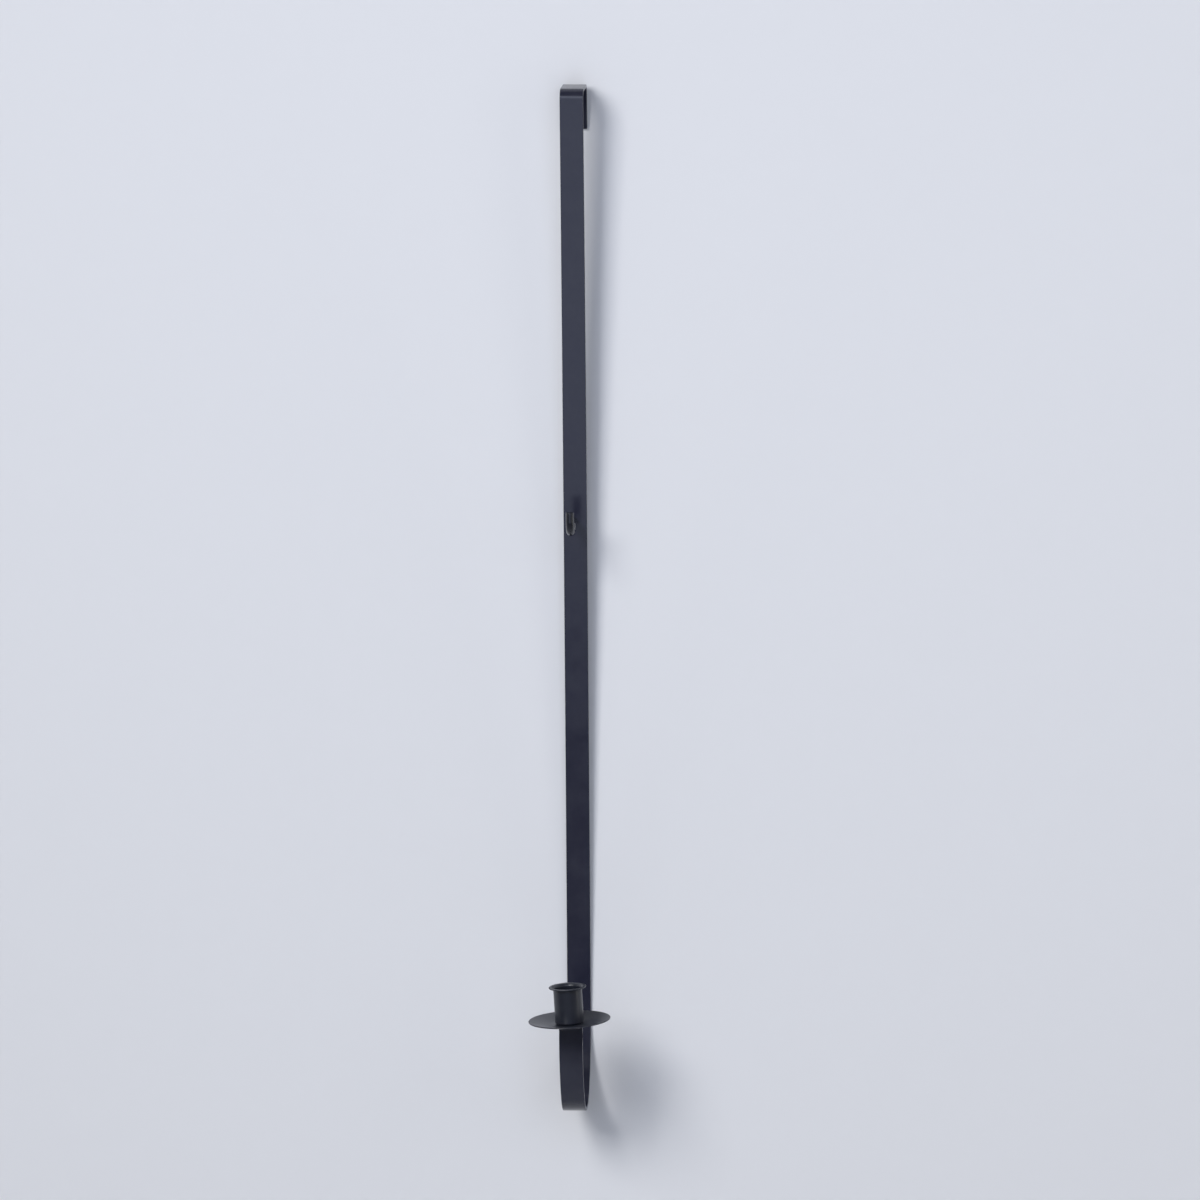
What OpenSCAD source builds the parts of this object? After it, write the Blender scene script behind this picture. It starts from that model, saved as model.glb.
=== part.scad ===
// Wall candle holder for a wreath: one long flat bar with a hanging hook at the top,
// a round rod hook for the wreath at mid height, and a J at the bottom that carries
// a drip pan and a candle cup. Millimetres, +Z up, the wall is on the +Y side.
// The origin is the middle of the hanging seat, under the flat top of the bar.

/* [Flat bar] */
// Width of the flat bar
bar_w = 20; // [14:0.5:30]
// Thickness of the flat bar
bar_t = 3; // [2:0.25:5]

/* [Hanging hook] */
// Level length of the hook's top, between its two bends
hook_flat = 27; // [14:0.5:50]
// Inner radius of the hook's two bends
hook_bend_r = 5.5; // [3:0.5:12]
// Height of the hook's back leg, from the seat down to its end
hook_leg = 36; // [20:1:60]
// Splay of the back leg, whose end rests on the wall
hook_splay = 5; // [0:0.5:8]

/* [Bow] */
// Height of the hanging seat above the place where the bar leaves the wall
bar_h = 796; // [450:1:1100]
// Share of a straight bar's lean that the bar has just above that place
foot_share = 0.62; // [0.1:0.02:0.8]
// Height of the flat length that rests against the wall, above the J
wall_h = 8; // [6:0.5:60]

/* [J bend] */
// Depth of the J between the middles of its two legs
j_depth = 90; // [72:1:130]
// Drop of the J below the flat length that rests against the wall
j_drop = 69; // [50:1:110]
// Radius of the J's tight bottom bend, at the middle of the bar
j_bottom_r = 32; // [10:0.5:40]

/* [Tab under the pan] */
// Straight length of the front leg above the J
leg_h = 12.3; // [4:0.1:25]
// Inner radius of the bend between the front leg and the tab
tab_bend_r = 3.5; // [2:0.5:6]
// Distance from the middle of the front leg out to the rivet
rivet_out = 11; // [10:0.5:20]
// Sideways lean of the tab, the pan and the cup, as the hand-bent bar has it
tab_lean = 3; // [0:0.25:4]
// Tip of the front leg, the tab, the pan and the cup towards the front
tab_tip = 3.25; // [0:0.25:5]

/* [Wreath hook] */
// Height of the hanging seat above the wreath hook's root
wreath_drop = 370; // [150:1:500]
// Diameter of the hook's round rod
rod_d = 7; // [5:0.5:9]
// Diameter of the spigot that goes through the bar
spigot_d = 4; // [3:0.5:4.5]
// Diameter of the spigot's peened end behind the bar
peen_d = 7; // [6:0.5:10]
// Height of the domed peened end
peen_t = 1.2; // [0.8:0.1:2]
// Straight length of the rod where it leaves the bar
root_len = 17; // [3:0.5:30]
// Radius of the rod's first bend, at its middle
dip_r = 8; // [6:0.5:14]
// Angle of the dip below the square direction
dip_angle = 30; // [15:1:50]
// Straight length between the two bends
dip_len = 2.4; // [1:0.1:15]
// Radius of the upward bend, at the rod's middle
cradle_r = 10; // [7:0.5:20]
// Straight length of the upright tip
tip_len = 8.5; // [4:0.5:30]
// Edge broken off round the cut end of the tip
tip_edge = 0.5; // [0.2:0.1:1]
// Distance of the hook to the left of the bar's middle
hook_off = 1.5; // [0:0.25:3]

/* [Drip pan] */
// Outer diameter of the pan
pan_d = 70; // [56:1:100]
// Sheet thickness of the pan
pan_t = 1; // [0.8:0.1:2]
// Diameter of the pan's flat floor
pan_floor_d = 29; // [28:0.5:40]
// Height of the pan's rim above its floor
pan_rise = 3.5; // [1:0.25:8]

/* [Candle cup] */
// Inner diameter of the cup, for a 22 mm dinner candle
cup_bore_d = 22.5; // [20:0.1:24]
// Sheet thickness of the cup
cup_t = 1; // [0.8:0.1:1.25]
// Height of the cup, to the top of its lip
cup_h = 32; // [20:0.5:50]
// Outer diameter of the flared lip
lip_d = 32; // [31:0.5:40]
// Radius of the cup's mouth, where its bore rolls over into the lip
flare_r = 2.6; // [1.8:0.1:4]
// Outer radius between the cup's wall and its bottom
cup_base_r = 2; // [1.5:0.1:4]

/* [Rivets] */
// Shank diameter of the rivet through cup, pan and tab
rivet_d = 4; // [3:0.5:5]
// Diameter of the rivet heads
head_d = 8; // [6.5:0.5:10]
// Height of the domed rivet heads
head_t = 1; // [0.8:0.1:2]
// Gap all round between a shank and its hole
fit_gap = 0.1; // [0.05:0.05:0.2]

/* [Hidden] */
black = "#2b2f36";

// How far the flat steps of a bend may lie from its true arc
arc_tol = 0.01;
// Length of the flat seat that the wreath hook stands on
seat_len = 14;

// Unit vector in the [y, z] plane at an angle from +Y towards +Z
function way(a) = [cos(a), sin(a)];

// Middle line of the hook, and the length of its splayed back leg
hook_r = hook_bend_r + bar_t / 2;
back_leg = (hook_leg - hook_bend_r + hook_r * sin(hook_splay)) / cos(hook_splay);
// The wall is where the leg's end rests, and the bar's back face rests on it above the J
wall_y = hook_flat / 2 + (hook_r + bar_t / 2) * cos(hook_splay) + back_leg * sin(hook_splay);
wall_mid_y = wall_y - bar_t / 2;

// The J is a tight bend between two wide ones. The first starts upright at the wall, and
// the second ends where the front leg's tip is reached.
j_z = -bar_h - wall_h;
j_turn = 2 * atan((j_depth / 2 - j_bottom_r) / (j_drop - j_bottom_r));
j_side_r = (j_depth / 2 - j_bottom_r * cos(j_turn)) / (1 - cos(j_turn));
j_side_y = wall_mid_y - j_side_r;
j_tight_y = wall_mid_y - j_depth / 2;
j_tight_z = j_z - (j_side_r - j_bottom_r) * sin(j_turn);
leg_y = wall_mid_y - j_depth;
leg_foot = [leg_y + j_side_r, j_z] - j_side_r * way(tab_tip);

// The bow is one large arc from a short bend at the foot into the hook's front bend. Its
// lean grows from the foot to the hook.
back_bend = [hook_flat / 2, -hook_bend_r];
front_bend = [-hook_flat / 2, -hook_bend_r];
wall_to_bend = front_bend - [wall_mid_y, -bar_h];
straight_lean = atan(-wall_to_bend.x / wall_to_bend.y) + asin(hook_r / norm(wall_to_bend));
foot_lean = foot_share * straight_lean;
foot = [j_side_y, -bar_h] + j_side_r * way(foot_lean);
foot_to_bend = front_bend - foot;
bow_r = (foot_to_bend * foot_to_bend - hook_r * hook_r)
    / (2 * (hook_r - foot_to_bend * way(foot_lean)));
bow_centre = foot - bow_r * way(foot_lean);
bow_to_bend = front_bend - bow_centre;
bow_lean = atan(bow_to_bend.y / bow_to_bend.x);
// Angle on the bow at which the wreath hook stands, and half the angle of its seat
seat_angle = asin((-wreath_drop - bow_centre.y) / bow_r);
seat_half = asin(seat_len / 2 / bow_r);

// Where one length of the bar or the rod ends inside another, the inner one is a hair
// thinner, so that they join in a clean step
join_step = 0.02;

// The tab's top face, at the rivet, is where the pan stands
tab_t = bar_t - join_step;
tab_r = tab_bend_r + tab_t / 2;
tab_h = leg_h + tab_r + tab_t / 2;
tab_at = leg_foot - rivet_out * way(tab_tip) + tab_h * way(90 + tab_tip);
// The tab's leaning bend has a stub below it that starts a little above the J, and the
// front leg ends half way along the length that it shares with the stub
stub_lift = 0.6;
lean_rise = bar_w / 2 * tan(tab_lean);
stub_h = leg_h - lean_rise - stub_lift;
leg_len = (leg_h + lean_rise + stub_lift) / 2;
// Height of the upright edge round a domed head
dome_edge = 0.3;
// A size that reaches past the leaning tab on every side
wide = 2 * (rivet_out + bar_w + tab_r + leg_h);

// The rod's straight lengths run a little way into its bends
rod_lap = 0.3;
bend_rod_r = rod_d / 2;
rod_r = bend_rod_r - join_step;
cradle_turn = 90 + dip_angle;
cup_r = cup_bore_d / 2 + cup_t;
flare_y = cup_h - flare_r;
stack_t = tab_t + pan_t + cup_t;

$fn = 96;

// Points along an arc about [y, z], in equal steps
function arc(centre, r, from, to, steps) = [
    for (i = [0 : steps])
        centre + r * way(from + (to - from) * i / steps)
];
function steps_for(r, turn) = ceil(turn / 2 / acos(1 - arc_tol / r));

hook_steps = steps_for(hook_r, 90);
bow_steps = steps_for(bow_r, (bow_lean - foot_lean) / 2);
foot_steps = steps_for(j_side_r, foot_lean);
side_steps = steps_for(j_side_r, j_turn);
tight_steps = steps_for(j_bottom_r, 180 - 2 * j_turn);
tab_steps = steps_for(tab_r, 90);

// One face of the bar from the back leg's end down to the front leg.
// side is 1 for the face that looks out from the wall and -1 for the other.
function bar_face(side) = let (h = side * bar_t / 2) concat(
    [back_bend + (hook_r + h) * way(hook_splay) - back_leg * way(90 + hook_splay)],
    arc(back_bend, hook_r + h, hook_splay, 90, hook_steps),
    arc(front_bend, hook_r + h, 90, 180 + bow_lean, hook_steps),
    arc(bow_centre, bow_r - h, bow_lean, seat_angle + seat_half, bow_steps),
    arc(bow_centre, bow_r - h, seat_angle - seat_half, foot_lean, bow_steps),
    arc([j_side_y, -bar_h], j_side_r - h, foot_lean, 0, foot_steps),
    arc([j_side_y, j_z], j_side_r - h, 0, -j_turn, side_steps),
    arc([j_tight_y, j_tight_z], j_bottom_r - h, -j_turn, j_turn - 180, tight_steps),
    arc([leg_y + j_side_r, j_z], j_side_r - h, j_turn - 180, tab_tip - 180, side_steps),
    [leg_foot + h * way(tab_tip) + leg_len * way(90 + tab_tip)]
);

// One face of the tab, from the stub of the front leg to the rounded end.
// It is measured from the rivet's place on the tab's top face, in the tipped tab's frame.
function tab_face(side) = let (h = side * tab_t / 2, centre_z = -tab_t / 2 - tab_r) concat(
    [[rivet_out + h, centre_z - stub_h]],
    arc([rivet_out - tab_r, centre_z], tab_r + h, 0, 90, tab_steps),
    [[-bar_w, centre_z + tab_r + h]]
);

function reversed(list) = [for (i = [len(list) - 1 : -1 : 0]) list[i]];

// Extrudes a [y, z] outline along X, centred
module across(width) {
    rotate([90, 0, 90])
        linear_extrude(width, center = true)
            children();
}

// The tipped frame of the tab, with its origin at the rivet on the tab's top face
module tipped() {
    translate([0, tab_at.x, tab_at.y])
        rotate([tab_tip, 0, 0])
            children();
}

// Puts the pan, the cup and the rivet on the tab, which also leans sideways
module on_tab() {
    tipped()
        rotate([0, -tab_lean, 0])
            children();
}

// Puts the wreath hook on its seat: Z runs square out of the bar and Y up along it
module on_seat() {
    face_r = (bow_r - bar_t / 2) * cos(seat_half);
    seat = bow_centre + face_r * way(seat_angle);
    translate([-hook_off, seat.x, seat.y])
        rotate([90 + seat_angle, 0, 0])
            children();
}

// The plan of the tab, with its round end
module tab_plan() {
    circle(d = bar_w);
    translate([-bar_w / 2, 0])
        square([bar_w, wide]);
}

module hanger_bar() {
    color(black)
        difference() {
            union() {
                across(bar_w)
                    polygon(concat(bar_face(1), reversed(bar_face(-1))));
                tipped()
                    intersection() {
                        translate([0, 0, -wide / 2])
                            linear_extrude(wide)
                                tab_plan();
                        rotate([0, -tab_lean, 0])
                            across(wide)
                                polygon(concat(tab_face(1), reversed(tab_face(-1))));
                    }
            }
            on_tab()
                shank_hole(rivet_d);
            on_seat()
                shank_hole(spigot_d);
        }
}

// A clearance hole through the bar, from its seat face at Z 0 down
module shank_hole(d) {
    translate([0, 0, -2 * bar_t])
        cylinder(h = 3 * bar_t, d = d + 2 * fit_gap);
}

// The half section of a domed head that stands on Y 0
module dome_section(d, height) {
    cap_h = height - dome_edge;
    cap_r = (d * d / 4 + cap_h * cap_h) / cap_h / 2;
    intersection() {
        translate([0, height - cap_r])
            circle(r = cap_r);
        square([d / 2, height]);
    }
}

// Places a straight length of the rod at a [y, z] point, turned down by an angle
module rod_at(start, down) {
    translate([0, start.x, start.y])
        rotate([down, 0, 0])
            children();
}

// A bend of the rod about a [y, z] centre, between two angles
module rod_bend(centre, r, from, to) {
    translate([0, centre.x, centre.y])
        rotate([90, 0, 90])
            rotate_extrude(angle = to - from, start = from)
                translate([r, 0])
                    circle(r = bend_rod_r);
}

module wreath_hook() {
    // Out of the bar, down round the dip, straight, then up round the cradle to the tip
    dip_c = [-dip_r, root_len];
    dip_end = dip_c + dip_r * way(dip_angle);
    cradle_c = dip_end + dip_len * way(90 + dip_angle) + cradle_r * way(dip_angle);
    color(black)
        on_seat() {
            cylinder(h = root_len + rod_lap, r = rod_r);
            rod_bend(dip_c, dip_r, 0, dip_angle);
            rod_at(dip_end, dip_angle)
                translate([0, 0, -rod_lap])
                    cylinder(h = dip_len + 2 * rod_lap, r = rod_r);
            rod_bend(cradle_c, cradle_r, 90, 90 + cradle_turn);
            rod_at(cradle_c + [0, cradle_r], -90)
                rotate_extrude()
                    polygon([
                        [0, -rod_lap],
                        [rod_r, -rod_lap],
                        [rod_r, tip_len - tip_edge],
                        [rod_r - tip_edge, tip_len],
                        [0, tip_len]
                    ]);
            rotate_extrude()
                translate([0, -bar_t]) {
                    square([spigot_d / 2, bar_t]);
                    mirror([0, 1])
                        dome_section(peen_d, peen_t);
                }
        }
}

module drip_pan() {
    color(black)
        on_tab()
            rotate_extrude()
                polygon([
                    [rivet_d / 2 + fit_gap, 0],
                    [pan_floor_d / 2, 0],
                    [pan_d / 2, pan_rise],
                    [pan_d / 2, pan_rise + pan_t],
                    [pan_floor_d / 2, pan_t],
                    [rivet_d / 2 + fit_gap, pan_t]
                ]);
}

// A quarter ring of sheet in the cup's section
module quarter(r, start) {
    intersection() {
        difference() {
            circle(r = r);
            circle(r = r - cup_t);
        }
        rotate(start)
            square(2 * r);
    }
}

module candle_cup() {
    color(black)
        on_tab()
            translate([0, 0, pan_t])
                rotate_extrude() {
                    translate([rivet_d / 2 + fit_gap, 0])
                        square([cup_r - cup_base_r - rivet_d / 2 - fit_gap, cup_t]);
                    translate([cup_r - cup_base_r, cup_base_r])
                        quarter(cup_base_r, -90);
                    translate([cup_r - cup_t, cup_base_r])
                        square([cup_t, flare_y - cup_base_r]);
                    translate([cup_r - cup_t + flare_r, flare_y])
                        quarter(flare_r, 90);
                    translate([cup_r - cup_t + flare_r, cup_h - cup_t])
                        square([lip_d / 2 - cup_r + cup_t - flare_r, cup_t]);
                }
}

module cup_rivet() {
    color(black)
        on_tab()
            rotate_extrude()
                translate([0, -tab_t]) {
                    square([rivet_d / 2, stack_t]);
                    mirror([0, 1])
                        dome_section(head_d, head_t);
                    translate([0, stack_t])
                        dome_section(head_d, head_t);
                }
}

hanger_bar();
wreath_hook();
drip_pan();
candle_cup();
cup_rivet();
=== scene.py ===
import math

import bmesh
import bpy
from mathutils import Matrix, Vector


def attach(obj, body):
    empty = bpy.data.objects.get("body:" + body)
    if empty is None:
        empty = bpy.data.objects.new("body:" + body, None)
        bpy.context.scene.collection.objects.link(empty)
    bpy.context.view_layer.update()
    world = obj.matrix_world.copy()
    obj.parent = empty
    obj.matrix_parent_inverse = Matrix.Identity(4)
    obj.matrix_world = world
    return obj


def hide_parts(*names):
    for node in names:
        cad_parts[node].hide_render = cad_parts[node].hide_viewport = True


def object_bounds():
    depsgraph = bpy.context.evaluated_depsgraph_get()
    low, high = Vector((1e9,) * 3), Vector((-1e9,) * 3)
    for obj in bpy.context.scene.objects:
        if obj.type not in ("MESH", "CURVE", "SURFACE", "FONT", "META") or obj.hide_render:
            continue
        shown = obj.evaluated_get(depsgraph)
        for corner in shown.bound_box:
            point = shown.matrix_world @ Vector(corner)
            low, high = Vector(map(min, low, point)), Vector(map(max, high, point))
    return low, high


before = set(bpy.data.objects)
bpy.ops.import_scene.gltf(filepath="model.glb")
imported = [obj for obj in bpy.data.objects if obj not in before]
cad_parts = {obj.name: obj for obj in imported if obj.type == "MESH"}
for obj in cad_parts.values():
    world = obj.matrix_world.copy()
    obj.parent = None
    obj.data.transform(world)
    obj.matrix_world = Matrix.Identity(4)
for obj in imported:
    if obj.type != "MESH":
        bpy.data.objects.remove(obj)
cad_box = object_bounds()


# The photograph's view: a camera far off with a long lens, a little above the object and
# to its right, so that sizes near the wall and in front of it come out alike.
view_up, view_right, view_tip = math.radians(8.187), math.radians(4.496), math.radians(0.227)
back = Vector((
    math.sin(view_right) * math.cos(view_up),
    -math.cos(view_right) * math.cos(view_up),
    math.sin(view_up),
))
level = Vector((math.cos(view_right), math.sin(view_right), 0))
above = back.cross(level)
across = level * math.cos(view_tip) - above * math.sin(view_tip)
upright = level * math.sin(view_tip) + above * math.cos(view_tip)
lens = bpy.data.cameras.new("photo_camera")
lens.sensor_width = 36
lens.lens = 703.4
lens.clip_end = 100
view_middle, view_distance = Vector((0.01914, 0.0247, -0.44113)), 20
camera = bpy.data.objects.new("photo_camera", lens)
turned = Matrix((across, upright, back)).transposed().to_4x4()
camera.matrix_world = Matrix.Translation(view_middle + view_distance * back) @ turned
bpy.context.collection.objects.link(camera)
bpy.context.scene.camera = camera
bpy.context.scene.view_settings.view_transform = "Standard"


# The wall that the holder hangs on: smooth plaster under matt emulsion paint, a pale cool
# grey with the faint stipple that a roller leaves, about 2 mm from dot to dot.
def srgb(hex_colour):
    """The linear colour of an sRGB hex value."""
    parts = [int(hex_colour[i:i + 2], 16) / 255 for i in (1, 3, 5)]
    return [p / 12.92 if p < 0.04045 else ((p + 0.055) / 1.055) ** 2.4 for p in parts] + [1]


def add(tree, kind, sockets=None):
    """Adds a node, with values or links for its sockets."""
    made = tree.nodes.new(kind)
    for name, value in (sockets or {}).items():
        if isinstance(value, bpy.types.NodeSocket):
            tree.links.new(value, made.inputs[name])
        else:
            made.inputs[name].default_value = value
    return made


def sheet_of(name, corners):
    """A flat four-cornered piece of the room."""
    shape = bmesh.new()
    shape.faces.new([shape.verts.new(c) for c in corners])
    mesh = bpy.data.meshes.new(name)
    shape.to_mesh(mesh)
    shape.free()
    made = bpy.data.objects.new(name, mesh)
    bpy.context.collection.objects.link(made)
    return made


emulsion = bpy.data.materials.new("matt_emulsion_wall")
emulsion.use_nodes = True
tree = emulsion.node_tree
tree.nodes.clear()
place = add(tree, "ShaderNodeTexCoord")
roller = add(tree, "ShaderNodeTexNoise", {
    "Vector": place.outputs["Object"],
    "Scale": 450,
    "Detail": 2,
})
relief = add(tree, "ShaderNodeBump", {
    "Height": roller.outputs["Fac"],
    "Strength": 0.03,
    "Distance": 0.0004,
})
paint = add(tree, "ShaderNodeBsdfPrincipled", {
    "Base Color": srgb("#e5e5e7"),
    "Roughness": 0.9,
    "Normal": relief.outputs["Normal"],
})
behind = add(tree, "ShaderNodeNewGeometry")
clear = add(tree, "ShaderNodeBsdfTransparent")
one_sided = add(tree, "ShaderNodeMixShader", {
    0: behind.outputs["Backfacing"],
    1: paint.outputs[0],
    2: clear.outputs[0],
})
add(tree, "ShaderNodeOutputMaterial", {"Surface": one_sided.outputs[0]})
wall_gap = 0.0002
wall_y = cad_box[1][1] + wall_gap
left, right, floor_z, ceiling_z = -3, 3, -2.2, 1.3
wall = sheet_of("wall", [
    (left, wall_y, floor_z),
    (right, wall_y, floor_z),
    (right, wall_y, ceiling_z),
    (left, wall_y, ceiling_z),
])
wall.data.materials.append(emulsion)

# The floor far below the holder, a little greyer than the wall.
front = -4
floor_grey = bpy.data.materials.new("pale_grey_floor")
floor_grey.use_nodes = True
floor_grey.node_tree.nodes["Principled BSDF"].inputs["Base Color"].default_value = srgb("#bec1c7")
floor_grey.node_tree.nodes["Principled BSDF"].inputs["Roughness"].default_value = 0.8
floor = sheet_of("floor", [
    (left, front, floor_z),
    (right, front, floor_z),
    (right, wall_y, floor_z),
    (left, wall_y, floor_z),
])
floor.data.materials.append(floor_grey)


# The light: a soft window high on the left, which throws the shadows and falls evenly over
# the wall, two weaker cool panels straight in front, one above the other, which the bar and
# its top bend mirror, a weak one on the right, which draws the right-hand edges, a narrow
# strip on either side for the thin bright lines on the rod and the cup, and an even dim
# room that fills the rest.
def soft_lamp(name, place, aim, width, height, power, colour):
    """A rectangle of soft light that faces a point."""
    lamp = bpy.data.lights.new(name, "AREA")
    lamp.shape = "RECTANGLE"
    lamp.size, lamp.size_y = width, height
    lamp.energy = power
    lamp.color = srgb(colour)[:3]
    made = bpy.data.objects.new(name, lamp)
    facing = (Vector(place) - Vector(aim)).to_track_quat("Z", "Y")
    made.matrix_world = Matrix.Translation(Vector(place)) @ facing.to_matrix().to_4x4()
    bpy.context.collection.objects.link(made)
    return lamp


window = soft_lamp("soft_window", (-1.39, -2.80, 1.34), (0, 0, -0.42), 1.24, 1.6, 71, "#ffffff")
window.use_nodes = True
even = add(window.node_tree, "ShaderNodeLightFalloff", {"Strength": 0.077})
glow = window.node_tree.nodes["Emission"]
window.node_tree.links.new(even.outputs["Constant"], glow.inputs["Strength"])
soft_lamp("low_front_panel", (0, -2, -0.325), (0, 0, -0.325), 2, 1.25, 7.9, "#dce7ff")
soft_lamp("high_front_panel", (0, -2, 0.75), (0, 0, 0.75), 2, 0.9, 11.3, "#dce7ff")
soft_lamp("right_panel", (2.2, -1.6, -0.1), (0, 0, -0.4), 1, 2, 5, "#ffffff")
soft_lamp("left_strip", (-2.5, -0.35, -0.4), (0, -0.35, -0.4), 0.25, 2, 4.5, "#ffffff")
soft_lamp("right_strip", (2.5, -0.35, -0.4), (0, -0.35, -0.4), 0.25, 2, 6, "#ffffff")
room = bpy.data.worlds.new("pale_room")
room.use_nodes = True
tree = room.node_tree
tree.nodes.clear()
ray = add(tree, "ShaderNodeLightPath")
fill = add(tree, "ShaderNodeBackground", {"Color": srgb("#f1f4f9"), "Strength": 0.14})
seen = add(tree, "ShaderNodeBackground", {"Color": srgb("#dfe3e8"), "Strength": 1})
choice = add(tree, "ShaderNodeMixShader", {
    0: ray.outputs["Is Camera Ray"],
    1: fill.outputs[0],
    2: seen.outputs[0],
})
add(tree, "ShaderNodeOutputWorld", {"Surface": choice.outputs[0]})
bpy.context.scene.world = room


# The hanger bar: one strip of hot-rolled flat steel, 20 by 3 mm, bent cold into the top
# hook, the long slightly bowed length, the J and the tab under the pan. Its edges are
# rounded by the rolling, and it is painted satin black.
def piece_from(shape, name, finish, slot, *nodes):
    """Makes a finished piece of a bmesh, which stands for one or more CAD nodes."""
    bmesh.ops.recalc_face_normals(shape, faces=shape.faces)
    for face in shape.faces:
        face.smooth = True
    mesh = bpy.data.meshes.new(name)
    shape.to_mesh(mesh)
    shape.free()
    mesh.materials.append(finish)
    made = bpy.data.objects.new(name, mesh)
    bpy.context.collection.objects.link(made)
    made.modifiers.new("even_shading", "WEIGHTED_NORMAL").weight = 100
    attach(made, "root")
    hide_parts(*nodes)


# Satin black paint: dark blue-grey rather than black, a faint mottle in tone where the
# coat is thick or thin, in patches of about 22 mm, and a low skin of orange peel, about
# 1 mm from bump to bump, that softens its reflections.
def satin_black(name, gloss, thick, thin):
    """The black paint, with the roughness and the two tones that its coat has."""
    made = bpy.data.materials.new(name)
    made.use_nodes = True
    tree = made.node_tree
    tree.nodes.clear()
    place = add(tree, "ShaderNodeTexCoord")
    mottle = add(tree, "ShaderNodeTexNoise", {
        "Vector": place.outputs["Object"],
        "Scale": 45,
        "Detail": 5,
        "Roughness": 0.6,
    })
    tone = add(tree, "ShaderNodeValToRGB", {"Fac": mottle.outputs["Fac"]})
    low, high, swing = 0.3, 0.7, 0.04
    for stop, part, colour in zip(tone.color_ramp.elements, (low, high), (thick, thin)):
        stop.position = part
        stop.color = srgb(colour)
    coat_depth = add(tree, "ShaderNodeMapRange", {
        "Value": mottle.outputs["Fac"],
        "From Min": low,
        "From Max": high,
        "To Min": gloss - swing,
        "To Max": gloss + swing,
    })
    peel = add(tree, "ShaderNodeTexNoise", {
        "Vector": place.outputs["Object"],
        "Scale": 900,
        "Detail": 2,
    })
    skin = add(tree, "ShaderNodeBump", {
        "Height": peel.outputs["Fac"],
        "Strength": 0.12,
        "Distance": 0.0002,
    })
    paint = add(tree, "ShaderNodeBsdfPrincipled", {
        "Base Color": tone.outputs["Color"],
        "Roughness": coat_depth.outputs["Result"],
        "Normal": skin.outputs["Normal"],
        "IOR": 1.5,
    })
    add(tree, "ShaderNodeOutputMaterial", {"Surface": paint.outputs[0]})
    return made


def round_off(shape, edges, size, segments=3):
    """Rounds edges of a shape."""
    bmesh.ops.bevel(
        shape, geom=edges, offset=size, segments=segments, profile=0.5, affect="EDGES", material=-1
    )


bar_paint = satin_black("satin_black_paint_on_rolled_bar", 0.18, "#232433", "#2b2c39")

# A merged copy of the strip: points a hair apart become one, and flat neighbours one face.
hair, flat_enough, sharp = 3e-5, math.radians(0.02), math.radians(40)
rolled_edge = 0.0005
shape = bmesh.new()
shape.from_mesh(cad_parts["hanger_bar"].data)
bmesh.ops.remove_doubles(shape, verts=shape.verts, dist=hair)
bmesh.ops.dissolve_limit(shape, angle_limit=flat_enough, verts=shape.verts, edges=shape.edges)
corners = [e for e in shape.edges if len(e.link_faces) == 2 and e.calc_face_angle() > sharp]
round_off(shape, corners, rolled_edge)
piece_from(shape, "flat_hanger_bar", bar_paint, "bar_steel", "hanger_bar")


# The wreath hook: a 7 mm round steel rod, its end turned down to a spigot that goes through
# the bar and is peened over behind it, then bent by hand: down, round the cradle and up.
def lathed(outline, closed=False, steps=64):
    """Turns an outline of (radius, height) points once round the Z axis, as a new shape."""
    shape = bmesh.new()
    points = [shape.verts.new((r, 0, z)) for r, z in outline]
    pairs = list(zip(points, points[1:]))
    if closed:
        pairs.append((points[-1], points[0]))
    edges = [shape.edges.new(pair) for pair in pairs]
    bmesh.ops.spin(
        shape,
        geom=points + edges,
        cent=(0, 0, 0),
        axis=(0, 0, 1),
        angle=2 * math.pi,
        steps=steps,
        use_merge=True,
    )
    bmesh.ops.remove_doubles(shape, verts=shape.verts, dist=1e-7)
    return shape


def soften(shape, radius, height, size, segments=3):
    """Rounds the ring of edges at a radius and a height of a lathed shape."""
    near = 1e-6
    ring = [
        e for e in shape.edges
        if all(
            abs(v.co.z - height) < near and abs(v.co.xy.length - radius) < near
            for v in e.verts
        )
    ]
    round_off(shape, ring, size, segments)


def domed(radius, base, rise, edge):
    """Outline points of a low domed head, from its upright edge to its middle."""
    cap = rise - math.copysign(edge, rise)
    ball = (radius ** 2 + cap ** 2) / abs(cap) / 2
    outline = [(radius, base)]
    for part in (1, 0.85, 0.65, 0.4, 0.2, 0):
        out = radius * part
        fall = math.copysign(ball - math.sqrt(ball ** 2 - out ** 2), rise)
        outline.append((out, base + rise - fall))
    return outline


def bend(shape, rim, centre, turn, steps):
    """Carries the open end of a rod round a bend, and gives the new open end."""
    spun = bmesh.ops.spin(shape, geom=rim, cent=centre, axis=(1, 0, 0), angle=turn, steps=steps)
    return [g for g in spun["geom_last"] if isinstance(g, bmesh.types.BMEdge)]


def draw_out(shape, rim, way, narrow=0):
    """Draws the open end of a rod out, narrowing it if wanted, and gives the new open end."""
    made = bmesh.ops.extrude_edge_only(shape, edges=rim)["geom"]
    points = [g for g in made if isinstance(g, bmesh.types.BMVert)]
    bmesh.ops.translate(shape, verts=points, vec=way)
    middle = sum((p.co for p in points), Vector()) / len(points)
    for p in points:
        p.co -= narrow * (p.co - middle).normalized()
    return [g for g in made if isinstance(g, bmesh.types.BMEdge)]


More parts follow.
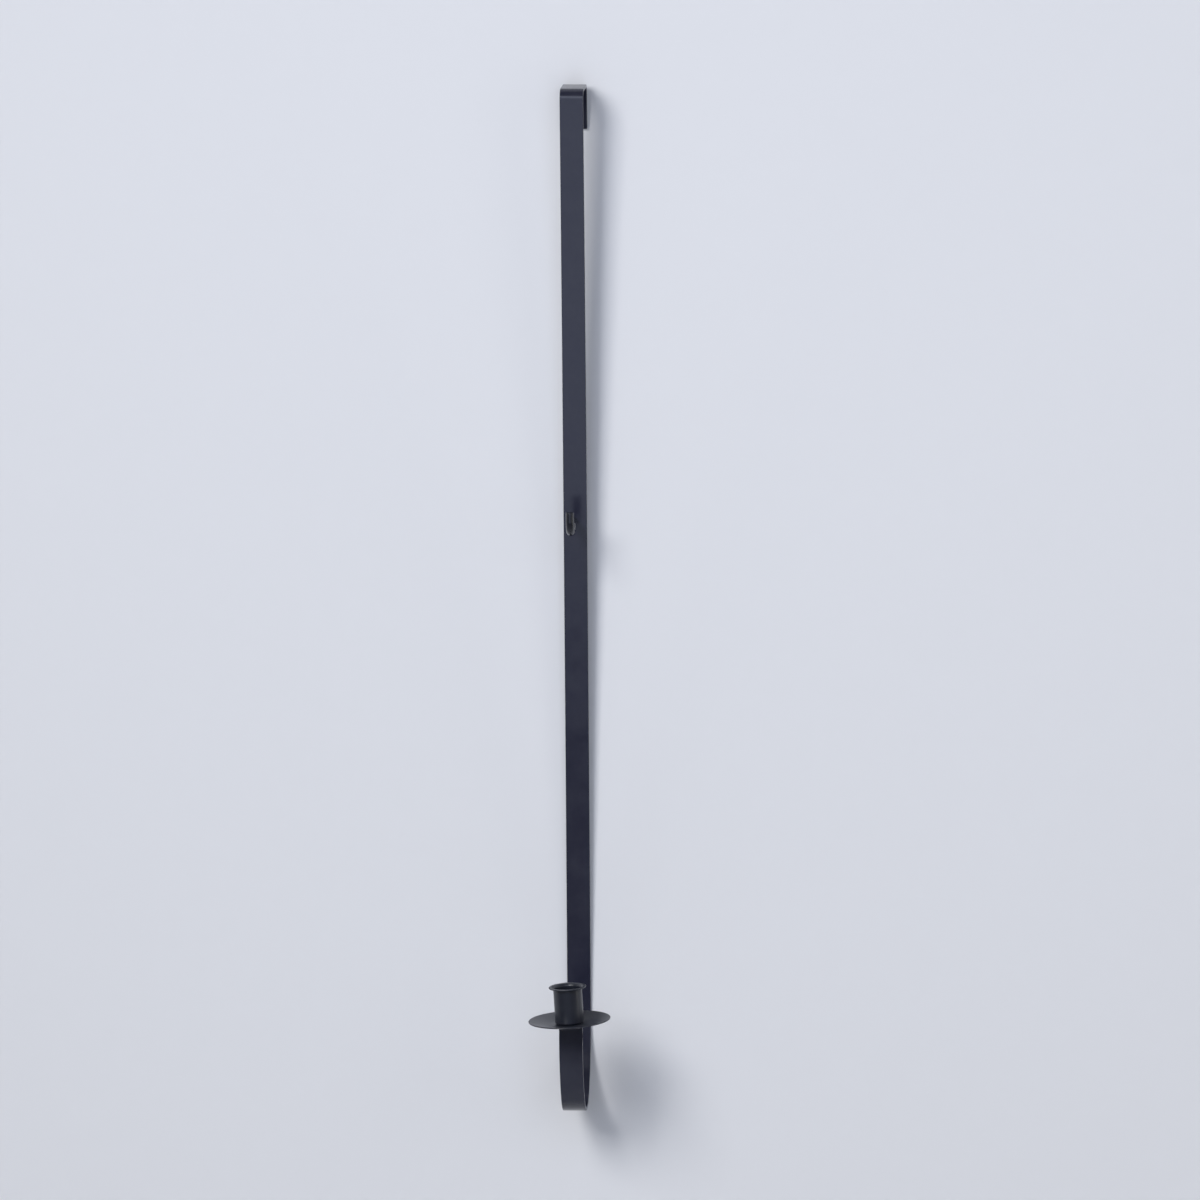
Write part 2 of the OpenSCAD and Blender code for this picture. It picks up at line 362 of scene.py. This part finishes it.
rod_radius, spigot_radius, bar_thick = 0.0035, 0.002, 0.003
peen_radius, peen_rise, worn_edge = 0.0035, 0.0012, 0.0003
root_long, dip_radius, dip_turn, dip_long = 0.017, 0.008, math.radians(30), 0.0024
cradle_radius, tip_long = 0.010, 0.008
peened = domed(peen_radius, -bar_thick, -peen_rise, worn_edge)
shape = lathed(list(reversed(peened)) + [
    (spigot_radius, -bar_thick),
    (spigot_radius, 0),
    (rod_radius, 0),
    (rod_radius, root_long),
])
soften(shape, rod_radius, 0, worn_edge)
rim = [e for e in shape.edges if e.is_boundary]
dip = Vector((0, -dip_radius, root_long))
rim = bend(shape, rim, dip, dip_turn, 8)
square_to_dip = Vector((0, math.cos(dip_turn), math.sin(dip_turn)))
along_dip = Vector((0, -math.sin(dip_turn), math.cos(dip_turn)))
rim = draw_out(shape, rim, dip_long * along_dip)
cradle = dip + (dip_radius + cradle_radius) * square_to_dip + dip_long * along_dip
rim = bend(shape, rim, cradle, -math.pi / 2 - dip_turn, 28)
up = Vector((0, 1, 0))
rim = draw_out(shape, rim, tip_long * up)

# Three short steps round the rod's cut end.
for rise, narrow in ((0.00025, 0.00008), (0.00016, 0.00014), (0.00007, 0.0002)):
    rim = draw_out(shape, rim, rise * up, narrow)
bmesh.ops.edgeloop_fill(shape, edges=rim)
seat_place, seat_angle = (-0.0015, 0.002344, -0.370085), math.radians(93.2627)
on_seat = Matrix.Translation(seat_place) @ Matrix.Rotation(seat_angle, 4, "X")
bmesh.ops.transform(shape, matrix=on_seat, verts=shape.verts)

# The drawn rod is smoother than the rolled bar, so the same paint lies on it glossier, with
# crisp bright lines along both sides. Its two tones are darker than the bar's. That is
# painted shade: the same paint, made darker to stand in for the rod's darker look.
rod_paint_with_painted_shade = satin_black("satin_black_paint_on_drawn_rod_painted_darker", 0.11, "#15161d", "#1c1d26")
piece_from(shape, "rod_wreath_hook", rod_paint_with_painted_shade, "bar_steel", "wreath_hook")


# The drip pan: a round blank of 1 mm sheet steel, pressed into a shallow dish, with a hole
# for the rivet in its flat floor and its cut edge rounded off, painted with the bar.
tab_place, tab_tip, tab_lean = (0, -0.078711, -0.791042), math.radians(3.25), math.radians(-3)
on_tab = (
    Matrix.Translation(tab_place)
    @ Matrix.Rotation(tab_tip, 4, "X")
    @ Matrix.Rotation(tab_lean, 4, "Y")
)
sheet, hole_radius, cut_edge = 0.001, 0.0021, 0.00045
floor_radius, pan_radius, pan_rise, pan_crease = 0.0145, 0.035, 0.0035, 0.003
sheet_paint = satin_black("satin_black_paint_on_pressed_sheet", 0.35, "#1b1e28", "#23262f")
shape = lathed(
    [
        (hole_radius, 0),
        (floor_radius, 0),
        (pan_radius, pan_rise),
        (pan_radius, pan_rise + sheet),
        (floor_radius, sheet),
        (hole_radius, sheet),
    ],
    closed=True,
    steps=128,
)
for height in (0, sheet):
    soften(shape, floor_radius, height, pan_crease, 5)
for height in (pan_rise, pan_rise + sheet):
    soften(shape, pan_radius, height, cut_edge)
bmesh.ops.transform(shape, matrix=on_tab, verts=shape.verts)
piece_from(shape, "dished_drip_pan", sheet_paint, "sheet_steel", "drip_pan")


# The candle cup: drawn from 1 mm sheet steel, with a round bottom edge, and its mouth
# rolled over outwards into a narrow flat lip. It stands on the pan, on the same rivet.
bore_radius, cup_radius, lip_radius, cup_height = 0.01125, 0.01225, 0.016, 0.032
bottom_bend, inner_bend, outer_flare, inner_flare = 0.002, 0.001, 0.0016, 0.0026
under_lip = cup_height - sheet
shape = lathed(
    [
        (hole_radius, 0),
        (cup_radius, 0),
        (cup_radius, under_lip),
        (lip_radius, under_lip),
        (lip_radius, cup_height),
        (bore_radius, cup_height),
        (bore_radius, sheet),
        (hole_radius, sheet),
    ],
    closed=True,
    steps=96,
)
soften(shape, cup_radius, 0, bottom_bend, 6)
soften(shape, bore_radius, sheet, inner_bend, 4)
soften(shape, cup_radius, under_lip, outer_flare, 6)
soften(shape, bore_radius, cup_height, inner_flare, 8)
for height in (under_lip, cup_height):
    soften(shape, lip_radius, height, cut_edge)
bmesh.ops.transform(shape, matrix=on_tab @ Matrix.Translation((0, 0, sheet)), verts=shape.verts)
piece_from(shape, "rolled_candle_cup", sheet_paint, "sheet_steel", "candle_cup")


# The rivet: a 4 mm steel rivet with a low domed head inside the cup and one under the tab,
# set before painting, so the coat runs over its heads.
tab_thick, shank_radius, head_radius, head_rise = 0.00298, 0.002, 0.004, 0.001
under = domed(head_radius, -tab_thick, -head_rise, worn_edge)
over = domed(head_radius, 2 * sheet, head_rise, worn_edge)
shank = [(shank_radius, -tab_thick), (shank_radius, 2 * sheet)]
shape = lathed(list(reversed(under)) + shank + over, steps=48)
bmesh.ops.transform(shape, matrix=on_tab, verts=shape.verts)
piece_from(shape, "cup_and_pan_rivet", bar_paint, "rivet_steel", "cup_rivet")
